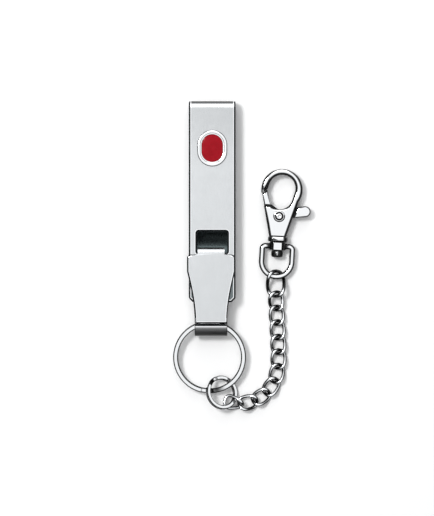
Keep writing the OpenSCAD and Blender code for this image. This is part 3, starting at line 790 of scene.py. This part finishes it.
def dress_loop():
    bm = whole_faces("ring_loop")
    rounding = rounded(bm, sharp_edges(bm, FOLD), 0.2 * MM, 4)
    shade_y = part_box("latch_tab")[0].y - LOOP_SHADE
    cut(bm, everything(bm), (0, shade_y, 0), ALONG)
    bm.normal_update()
    for face in [f for f in rounding if f.is_valid]:
        face.material_index = edge_light_tone(abs(face.normal.x))
    for face in bm.faces:
        c = face.calc_center_median()
        if abs(face.normal.x) > SIDE_DARK:
            face.material_index = SIDE
        elif c.y > shade_y and c.z > LOOP_FRONT_Z:
            face.material_index = PAINTED_DARK
    finished(bm, "loop_strip", "ring_loop", [drawn_steel] + EDGE_TONES)


dress_loop()

# %% [markdown]
# ## The badge
# The badge is a small pressing with a rounded rim and a pool of red enamel. Its outline
# is two half circles joined by two straight stretches. One cross-section makes it: it is
# spun round the upper end, drawn down one side, spun round the lower end and drawn up
# again. From here on the pieces are modelled in millimetres and then placed.

# %% Profiles and sweeps
def profile_line(bm, points):
    """Points joined by edges, one after the other."""
    verts = [bm.verts.new(point) for point in points]
    return verts + [bm.edges.new(pair) for pair in zip(verts, verts[1:])]


def with_points(edges):
    return edges + [*dict.fromkeys(v for e in edges for v in e.verts)]


def spun(bm, geom, angle, steps, centre=(0, 0, 0), axis=(0, 0, 1), rise=0, merge=False):
    """Sweeps a line round an axis, and gives its last place. The angle is in degrees."""
    return bmesh.ops.spin(
        bm, geom=geom, cent=centre, axis=axis, dvec=(0, 0, rise), angle=math.radians(angle),
        steps=steps, use_merge=merge, use_duplicate=False,
    )["geom_last"]


def drawn_out(bm, line, way):
    """Sweeps a line straight, and gives its last place."""
    made = bmesh.ops.extrude_edge_only(bm, edges=line)["geom"]
    verts = verts_of(made)
    bmesh.ops.translate(bm, vec=way, verts=verts)
    return [e for e in edges_of(made) if all(v in verts for v in e.verts)]


def closed(bm, below=math.inf):
    """Fills the openings whose rim lies below a height, and gives the rims."""
    rims = [e for e in bm.edges if e.is_boundary and e.verts[0].co.z < below]
    bmesh.ops.holes_fill(bm, edges=rims, sides=0)
    outward(bm)
    return rims


def placed(bm, matrix):
    """Moves a piece that was modelled in millimetres to its place."""
    moved(bm, matrix @ Matrix.Scale(MM, 4))


print("points closer than", SAME_SPOT, "mm count as one")

# %% Place of the badge
HALF_RUN = 1.1
badge_low, badge_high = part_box("badge_rim")
badge_middle = (badge_low + badge_high) / 2
plate_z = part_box("badge_enamel")[0].z - 0.4 * MM
BADGE = Matrix.Translation((badge_middle.x, badge_middle.y, plate_z))


def round_the_badge(bm, profile):
    """profile lists (distance from the badge's middle line, height)."""
    line = edges_of(profile_line(bm, [(r, HALF_RUN, z) for r, z in profile]))
    for sign in (1, -1):
        last = spun(bm, with_points(line), 180, 40, (0, sign * HALF_RUN, 0))
        line = drawn_out(bm, edges_of(last), (0, -sign * 2 * HALF_RUN, 0))
    weld(bm, SAME_SPOT)
    outward(bm)


print("the badge lies on the plate at", round(plate_z / MM, 2), "mm")

# %% Badge frame
POST_SPREAD = 3.2
# the post and its head: lower radius, upper radius, length and height of the middle
POST_PARTS = [(0.7, 0.7, 1.0, -0.5), (0.85, 1.12, 0.3, -1.15)]


def make_badge_frame():
    bm = bmesh.new()
    round_the_badge(bm, [
        (5.1, 0), (5.1, 0.45), (5.07, 0.62), (4.98, 0.80), (4.84, 0.92), (4.66, 0.99), (4.5, 1.0),
        (4.34, 0.99), (4.18, 0.93), (4.08, 0.84), (4.04, 0.78), (3.98, 0.76), (3.8, 0.76),
        (3.68, 0.73), (3.6, 0.64), (3.6, 0.3),
    ])
    closed(bm, below=0.1)
    for y in (-POST_SPREAD, POST_SPREAD):
        for low_r, high_r, length, z in POST_PARTS:
            part = bmesh.ops.create_cone(
                bm, cap_ends=True, segments=24, radius1=low_r, radius2=high_r, depth=length,
            )
            bmesh.ops.translate(bm, vec=(0, y, z), verts=part["verts"])
    outward(bm)
    placed(bm, BADGE)
    finished(bm, "badge_frame", "badge_rim", [rim_chrome], 50)


make_badge_frame()

# %% Badge enamel
def make_enamel():
    bm = bmesh.new()
    round_the_badge(bm, [
        (3.6, 0.42), (3.6, 0.58), (3.5, 0.60), (3.2, 0.64), (2.6, 0.70), (1.8, 0.75), (0.9, 0.78),
        (0, 0.79),
    ])
    closed(bm, below=0.5)
    placed(bm, BADGE)
    finished(bm, "enamel_pool", "badge_enamel", [enamel_red], 60)


make_enamel()

# %% [markdown]
# ## The rings
# A split ring is a flat wire wound twice round. The wire's section is spun along the
# first turn, then climbs by its own thickness, and goes round once more. The climb is
# made of short spins, each with its own small rise, so that it starts and ends softly.

# %% Coil
TURN_GAP = 0.06
TURN_STEPS = 105
CLIMB = 40
CLIMB_STEPS = 20
END_ROUND = 0.1


def wire_section(bm, across, thick, round_by):
    """A flat wire's outline: a rectangle with rounded corners, upright in the XZ plane."""
    corners = bmesh.ops.create_grid(bm, x_segments=1, y_segments=1, size=0.5)["verts"]
    bmesh.ops.scale(bm, vec=(across, thick, 1), verts=corners)
    rounded(bm, corners, round_by, 6, "VERTICES")
    moved(bm, turned(90, "X"))


def coil(name, node, radius, section, ends, matrix):
    """section is (across, thick, corner radius) and ends are the bearings of the wire's ends."""
    across, thick, round_by = section
    start, end = ends
    rise = thick + TURN_GAP
    bm = bmesh.new()
    wire_section(bm, across, thick, round_by)
    moved(bm, turned(start, "Z") @ Matrix.Translation((radius, 0, -rise / 2)))
    bmesh.ops.delete(bm, geom=bm.faces[:], context="FACES_ONLY")
    reach = spun(bm, bm.verts[:] + bm.edges[:], 360 - CLIMB - start, TURN_STEPS)
    heights = [rise * (1 - math.cos(math.pi * i / CLIMB_STEPS)) / 2 for i in range(CLIMB_STEPS + 1)]
    for lower, upper in zip(heights, heights[1:]):
        reach = spun(bm, reach, CLIMB / CLIMB_STEPS, 1, rise=upper - lower)
    spun(bm, reach, end - 360, TURN_STEPS)
    rounded(bm, closed(bm), END_ROUND, 3)
    placed(bm, matrix)
    finished(bm, name, node, [ring_chrome], 50, front=matrix.col[2].xyz)


print("a coil climbs within", CLIMB, "degrees")

# %% Key ring and chain ring
def at(x, y, z):
    return Matrix.Translation(Vector((x, y, z)) * MM)


coil("key_ring_coil", "split_ring", 11.605, (1.75, 0.9, 0.43), (5, 675),
     at(-0.9, -64.1974, 3.8) @ turned(3.94605, "X") @ turned(-58, "Z"))
coil("chain_ring_coil", "chain_ring", 5.145, (1.4, 0.7, 0.34), (6, 674),
     at(3.2509, -76.3459, 3.55105) @ turned(26.6, "Z") @ turned(29.7, "Y") @ turned(130, "Z"))

# %% [markdown]
# ## Chain
# The chain's links are wires bent into a twisted loop. The solid has a coarse wire of
# eight sides, and a subdivision surface makes it round. That draws the wire in a
# little, so it is swollen a little first. The first link and the end link turn furthest
# in their neighbours, so they stay thin.

# %% Links
LINK_WIRE = 1.2 * MM
END_WIRE = 1.4 * MM
SWELL = 0.05


def round_wire(node, name, wire, swell):
    """swell is a share of the wire's radius."""
    bm = solid_of(node)
    bmesh.ops.join_triangles(
        bm, faces=bm.faces, angle_face_threshold=math.radians(60), angle_shape_threshold=math.radians(80),
    )
    bm.normal_update()
    for v in bm.verts:
        v.co += v.normal * wire / 2 * swell
    piece = finished(bm, name, node, [link_chrome], ALL_SMOOTH)
    smooth = piece.modifiers.new("round", "SUBSURF")
    smooth.levels = 2
    smooth.render_levels = 2
    shown = piece.evaluated_get(bpy.context.evaluated_depsgraph_get())
    round_mesh = bpy.data.meshes.new_from_object(shown)
    piece.modifiers.clear()
    piece.data = round_mesh
    round_mesh.attributes.remove(round_mesh.attributes["facing"])
    note_facing(round_mesh)


for i in LINKS:
    round_wire(f"chain_link_{i:02d}", f"curb_link_{i:02d}", LINK_WIRE, 0 if i == 1 else SWELL)
round_wire("connector_link", "end_link", END_WIRE, 0)

# %% [markdown]
# ## The swivel and the snap hook
# These pieces are modelled in the hook's own frame: its origin is the middle of the
# barrel, and Y runs up the hook. The drawing's joint says where that is.

# %% Hook frame
swivel = next(j for j in frame["joints"] if j["name"] == "hook_swivel")
lean = math.atan2(-swivel["axis"][0], swivel["axis"][1])
HOOK = Matrix.Translation(swivel["pos_m"]) @ Matrix.Rotation(lean, 4, "Z")
print("the hook leans by", round(math.degrees(lean), 1), "degrees")

# %% [markdown]
# ## Turned parts
# The barrel, the collar and the post are profiles that are spun right round, as on a
# lathe. The barrel and the collar are then ground flat in front and behind. Parts of one
# casting stay shells that sink into each other: a boolean would spoil their round edges.

# %% Lathe helpers
HALF_FLAT = 2.6


def lathe(bm, points, axis, steps):
    spun(bm, profile_line(bm, points), 360, steps, axis=axis, merge=True)
    weld(bm, SAME_SPOT)


def lathe_y(profile):
    """Spins a profile of (radius, y) round the hook's axis."""
    bm = bmesh.new()
    lathe(bm, [(r, y, 0) for r, y in profile], (0, 1, 0), 64)
    return bm


def lathe_z(profile):
    """Spins a profile of (radius, z) round the rivet's axis."""
    bm = bmesh.new()
    lathe(bm, [(r, 0, z) for r, z in profile], (0, 0, 1), 48)
    outward(bm)
    return bm


def flattened(bm, radius, segments):
    """Grinds a turned part flat in front and behind, and rounds its edges."""
    for sign in (-1, 1):
        ground = bmesh.ops.bisect_plane(
            bm, geom=everything(bm), plane_co=(0, 0, sign * HALF_FLAT), plane_no=(0, 0, sign),
            clear_outer=True,
        )
        bmesh.ops.holes_fill(bm, edges=edges_of(ground["geom_cut"]), sides=0)
    outward(bm)
    rounded(bm, sharp_edges(bm, CORNERS), radius, segments)


def joined(target, part):
    mesh = bpy.data.meshes.new("part")
    part.to_mesh(mesh)
    part.free()
    target.from_mesh(mesh)
    bpy.data.meshes.remove(mesh)


print("barrel and collar are", 2 * HALF_FLAT, "mm thick")

# %% [markdown]
# ## The swivel eye
# The eye is a barrel with a bow of round wire. The bow leaves the barrel sideways, turns
# down over two shoulders and closes in a half circle. A circle of edges is drawn out
# and bent stretch by stretch, as the wire was, so every stretch stays truly round.

# %% Swivel eye
BARREL_IN, BARREL_OUT, BARREL_HALF = 1.6, 2.9, 1.35
BOW_START = 2.0
EYE_WIRE_R = 0.975
EYE_ARM = 5.175
EYE_DROP = 10.4
SHOULDER_R = 1.1


def eye_bow():
    bm = bmesh.new()
    bmesh.ops.create_circle(bm, segments=28, radius=EYE_WIRE_R)
    moved(bm, Matrix.Translation((BOW_START, 0, 0)) @ turned(90, "Y"))
    shoulder = EYE_ARM - SHOULDER_R
    low = EYE_ARM - EYE_DROP

    def bent(line, x, y, angle, steps):
        return edges_of(spun(bm, with_points(line), angle, steps, (x, y, 0)))

    line = drawn_out(bm, bm.edges[:], (shoulder - BOW_START, 0, 0))
    line = bent(line, shoulder, -SHOULDER_R, -90, 12)
    line = drawn_out(bm, line, (0, low + SHOULDER_R, 0))
    line = bent(line, 0, low, -180, 56)
    line = drawn_out(bm, line, (0, -SHOULDER_R - low, 0))
    line = bent(line, -shoulder, -SHOULDER_R, -90, 12)
    drawn_out(bm, line, (shoulder - BOW_START, 0, 0))
    closed(bm)
    return bm


def make_eye():
    bm = lathe_y([
        (BARREL_IN, -BARREL_HALF), (BARREL_OUT, -BARREL_HALF), (BARREL_OUT, BARREL_HALF),
        (BARREL_IN, BARREL_HALF), (BARREL_IN, -BARREL_HALF),
    ])
    flattened(bm, 0.28, 4)
    joined(bm, eye_bow())
    placed(bm, HOOK)
    finished(bm, "eye_wire", "swivel_eye", [wire_chrome], 50)


make_eye()

# %% [markdown]
# ## The snap hook
# The hook is a casting with a flat front and a well-rounded rim. Its outline is worked
# out from a few circles and corners. It becomes a sheet, and three layers of it make the
# body: the middle one leaves the slot open in which the gate turns.

# %% Sizes of the hook
BOW_R = 7.1
BOW_AT = Vector((0.5, 19.4, 0))
HOLE_R = 4.55
HOLE_LEAN = math.radians(15)
HOLE_HIGH_AT = Vector((0.5, 19.9, 0))
HOLE_LOW_AT = HOLE_HIGH_AT - 2.8 * Vector((math.sin(HOLE_LEAN), math.cos(HOLE_LEAN), 0))
NECK = ((-3.0, 2.8), (2.6, 2.8))
GAP_LOW = 13.65
NOSE_AT = (-6.6, 17.7)
NOSE_SLOPE = math.tan(math.radians(38))
HALF_THICK = 2.1
HALF_SLOT = 1.1
SLOT_LOW, SLOT_HIGH = 7.6, 14.6
PIVOT_UP = 10.3
HOOK_ROUND = 0.95
NEAR = 0.01


def flank(side, y):
    """Sideways place of the flank at a height. Side -1 is the gate's, side 1 is the thumb's."""
    low = NECK[0][0] if side < 0 else NECK[1][0]
    high = BOW_AT.x + side * BOW_R
    return low + (high - low) * (y - NECK[0][1]) / (BOW_AT.y - NECK[0][1])


print("width at the pivot:", round(flank(1, PIVOT_UP) - flank(-1, PIVOT_UP), 2), "mm")

# %% Places on the outline
def bearing(point, centre):
    return math.atan2(point[1] - centre.y, point[0] - centre.x)


def nose_ends():
    """The nose's edge is straight. It starts at the hole's left side line and ends on the bow."""
    side = HOLE_HIGH_AT - HOLE_R * Vector((math.cos(HOLE_LEAN), -math.sin(HOLE_LEAN), 0))
    rise = side.y - NOSE_AT[1] - (side.x - NOSE_AT[0]) * NOSE_SLOPE
    down = rise / (math.cos(HOLE_LEAN) - math.sin(HOLE_LEAN) * NOSE_SLOPE)
    inner = (side.x - math.sin(HOLE_LEAN) * down, side.y - math.cos(HOLE_LEAN) * down, 0)
    x = NOSE_AT[0]
    # each try takes the bow's side at the height that the last one gave
    for _ in range(20):
        y = NOSE_AT[1] + (x - NOSE_AT[0]) * NOSE_SLOPE
        x = BOW_AT.x - math.sqrt(BOW_R ** 2 - (y - BOW_AT.y) ** 2)
    return inner, (x, y, 0)


def bow_end():
    """Where the right flank leaves the bow's circle."""
    slope = flank(1, 1) - flank(1, 0)
    y = BOW_AT.y - 2 * BOW_R * slope / (1 + slope ** 2)
    return flank(1, y), y


print("the nose is", round(math.dist(*nose_ends()), 2), "mm long")

# %% Outline of the hook
def hook_outline(bm):
    """One line round the hook: up the left flank, in at the gate's gap, round the hole,
    out at the nose, over the bow and down the right flank."""
    def arc(start, centre, angle, steps):
        v = bm.verts.new(start)
        return v, verts_of(spun(bm, [v], math.degrees(angle), steps, centre))[0]

    # the lower arc starts where the gap's edge meets it and ends at the right side's line
    drop = GAP_LOW - HOLE_LOW_AT.y
    gap_in = (HOLE_LOW_AT.x - math.sqrt(HOLE_R ** 2 - drop ** 2), GAP_LOW, 0)
    low_a, low_b = arc(gap_in, HOLE_LOW_AT, -HOLE_LEAN - bearing(gap_in, HOLE_LOW_AT), 30)
    out = Vector((math.cos(HOLE_LEAN), -math.sin(HOLE_LEAN), 0)) * HOLE_R
    top_a, top_b = arc(HOLE_HIGH_AT + out, HOLE_HIGH_AT, math.pi, 48)
    inner, start = nose_ends()
    nose_in = bm.verts.new(inner)
    turn = bearing(bow_end(), BOW_AT) - bearing(start, BOW_AT) % (2 * math.pi)
    outer_a, outer_b = arc(start, BOW_AT, turn, 64)
    corners = [bm.verts.new((x, y, 0)) for x, y in (NECK[1], NECK[0], (flank(-1, GAP_LOW), GAP_LOW))]
    for pair in [(low_b, top_a), (top_b, nose_in), (nose_in, outer_a), (outer_b, corners[0]),
                 (corners[0], corners[1]), (corners[1], corners[2]), (corners[2], low_a)]:
        bm.edges.new(pair)
    weld(bm, SAME_SPOT / 2)
    bmesh.ops.contextual_create(bm, geom=bm.verts[:] + bm.edges[:])


hook_shape = bmesh.new()
hook_outline(hook_shape)
print("points on the outline:", len(hook_shape.verts))

# %% Three layers
def inside_slot(face):
    top = max(v.co.y for v in face.verts)
    return SLOT_LOW < face.calc_center_median().y < SLOT_HIGH and top < SLOT_HIGH + NEAR


def layer(bm, faces, low, high):
    """A copy of some of the flat faces, from one height to another."""
    copy = bmesh.ops.duplicate(bm, geom=with_rims(faces))["geom"]
    for v in verts_of(copy):
        v.co.z = low
    flat = [g for g in copy if isinstance(g, bmesh.types.BMFace)]
    drawn = bmesh.ops.extrude_face_region(bm, geom=flat, use_keep_orig=True)
    for v in verts_of(drawn["geom"]):
        v.co.z = high


def thicken_hook(bm):
    for y in (SLOT_LOW, SLOT_HIGH):
        cut(bm, everything(bm), (0, y, 0), ALONG)
    sheet = bm.faces[:]
    layer(bm, sheet, -HALF_THICK, -HALF_SLOT)
    layer(bm, [f for f in sheet if not inside_slot(f)], -HALF_SLOT, HALF_SLOT)
    layer(bm, sheet, HALF_SLOT, HALF_THICK)
    bmesh.ops.delete(bm, geom=sheet, context="FACES")
    weld(bm, SAME_SPOT / 2)
    flat = [f for f in bm.faces if abs(f.normal.z) > 0.9 and not inside_slot(f)]
    between = [f for f in flat if abs(abs(f.calc_center_median().z) - HALF_SLOT) < NEAR]
    bmesh.ops.delete(bm, geom=between, context="FACES_ONLY")
    outward(bm)
    sharp = sharp_edges(bm, CORNERS)
    rim = [e for e in sharp if all(abs(abs(v.co.z) - HALF_THICK) < NEAR for v in e.verts)]
    rounded(bm, rim, HOOK_ROUND, 8)


thicken_hook(hook_shape)
print("faces of the layers:", len(hook_shape.faces))

# %% [markdown]
# ## Painted light on the hook
# The hook's flat front gets the full tone everywhere, and its roundings are painted
# lighter on the side that looks up the hook than on the one that looks down, and darker
# where they lean sideways. So the hook has a rule of its own for facing, and a painted
# shade darkens the groove round the rivet and the lower half of the ring round its seat.

# %% Painted light rules
DARK = 0.5
SEAT_R = 2.3
GROOVE_IN, GROOVE_OUT = 1.43, 1.66
GATE_HALF = 1.9
RIVET_EDGE_R = 0.97


def in_hook(point):
    """A place in the hook's own frame, in millimetres."""
    return HOOK.inverted() @ point / MM


def from_pivot(p):
    return math.hypot(p.x, p.y - PIVOT_UP)


def lowered(facing, by):
    """Lowers a rounding's facing, down to its dark tone, which paints it darker. A side wall keeps its
    own.
    """
    return facing if facing < 0.2 else min(1, max(DARK, facing - by))


def hook_rule(point, normal, facing):
    p = in_hook(point)
    if abs(abs(p.z) - HALF_THICK) < NEAR:
        return 1
    # painted shade: the groove round the rivet and the lower half of the seat's outer ring are dark
    if from_pivot(p) < SEAT_R and abs(p.z) > HALF_THICK - 0.06:
        if from_pivot(p) < GROOVE_IN:
            return DARK
        if from_pivot(p) < GROOVE_OUT:
            return 1
        return DARK if p.y < PIVOT_UP + 0.3 else 0.95
    # a rounding that looks down the hook or sideways is painted darker, one that looks up lighter
    looks_down = 0.3 * max(0, -normal.y)
    if p.y < NECK[0][1]:
        return lowered(facing, 0.3 * abs(normal.x) + looks_down)
    return lowered(facing, 0.35 * abs(normal.x) + looks_down - 0.35 * max(0, normal.y))


def gate_rule(point, normal, facing):
    return 1 if abs(in_hook(point).z) > GATE_HALF - NEAR else facing


# painted shade: the rivet head's rim is dark, down into the groove
def rivet_rule(point, normal, facing):
    return DARK if from_pivot(in_hook(point)) > RIVET_EDGE_R else facing


print("the dark ring at the rivet runs from", RIVET_EDGE_R, "to", GROOVE_IN, "mm")

# %% Hook
SEAT_PROFILE = [
    (0, 0.02), (1.25, 0.02), (1.42, 0.03), (1.44, 0.1), (1.5, 0.15), (1.62, 0.15), (1.7, 0.14),
    (1.8, 0.112), (1.9, 0.075), (2.0, 0.025), (2.1, -0.04), (2.1, -0.3),
]
COLLAR_PROFILE = [(0, 1.5), (3.5, 1.5), (3.5, 3.3), (0, 3.3)]
POST_PROFILE = [
    (0, -3.8), (1.3, -3.8), (1.68, -3.7), (1.95, -3.42), (2.05, -3.05), (2.05, -1.85), (1.95, -1.62),
    (1.75, -1.5), (1.5, -1.5), (1.5, 2.0), (0, 2.0),
]


def make_hook(bm):
    """Adds the rivet's two seats, the collar and the peened post to the layers."""
    for sign in (-1, 1):
        seat = lathe_z(SEAT_PROFILE)
        mirror = Matrix.Scale(sign, 4, (0, 0, 1))
        moved(seat, Matrix.Translation((0, PIVOT_UP, sign * HALF_THICK)) @ mirror)
        outward(seat)
        joined(bm, seat)
    collar = lathe_y(COLLAR_PROFILE)
    flattened(collar, 0.6, 6)
    joined(bm, collar)
    post = lathe_y(POST_PROFILE)
    outward(post)
    joined(bm, post)
    placed(bm, HOOK)
    finished(bm, "hook_casting", "hook_body", [chrome], 35, own_rule=hook_rule)


make_hook(hook_shape)

# %% [markdown]
# ## The gate
# The gate and its thumb lever are one casting that turns in the hook's slot. The solid
# has its outline, so only the edges that show are rounded: more on the thumb's side,
# less on the gate's. The part that is hidden in the slot keeps its plain edges.

# %% Gate
THUMB_X = 5.0
GATE_X = -3.0


def make_gate():
    bm = whole_faces("gate_lever")
    moved(bm, Matrix.Scale(1 / MM, 4) @ HOOK.inverted())

    def round_where(shown, radius, segments):
        def there(v):
            return abs(abs(v.co.z) - GATE_HALF) < 2 * NEAR and shown(v.co.x)
        edges = [e for e in sharp_edges(bm, CORNERS) if all(there(v) for v in e.verts)]
        rounded(bm, edges, radius, segments)

    round_where(lambda x: x > THUMB_X, 0.6, 6)
    round_where(lambda x: x < GATE_X, 0.4, 5)
    placed(bm, HOOK)
    finished(bm, "gate_casting", "gate_lever", [chrome], 35, own_rule=gate_rule)


make_gate()

# %% [markdown]
# ## The rivet and the spring
# The rivet is the gate's pivot. Its two heads are dished by the punch that closed them,
# so its profile runs down into each head and up over a ring. The spring lies hidden in
# the slot. Its solid stays as it is, and only gets a steel finish.

# %% Rivet and spring
RIVET_R = 0.8
RIVET_END = 2.25
HEAD_PROFILE = [
    (0, 0.1), (0.2, 0.1), (0.32, 0.13), (0.42, 0.19), (0.52, 0.235), (0.62, 0.25), (0.76, 0.24),
    (0.9, 0.2), (1.02, 0.13), (1.13, 0.03), (1.2, -0.08), (1.25, -0.2),
]


def make_rivet():
    front = [(r, RIVET_END + z) for r, z in HEAD_PROFILE] + [(RIVET_R, RIVET_END)]
    bm = lathe_z(front + [(r, -z) for r, z in reversed(front)])
    moved(bm, Matrix.Translation((0, PIVOT_UP, 0)))
    placed(bm, HOOK)
    finished(bm, "gate_pin", "gate_rivet", [wire_chrome], 50, own_rule=rivet_rule)


make_rivet()
nodes["gate_spring"].data.materials[0] = dark_steel
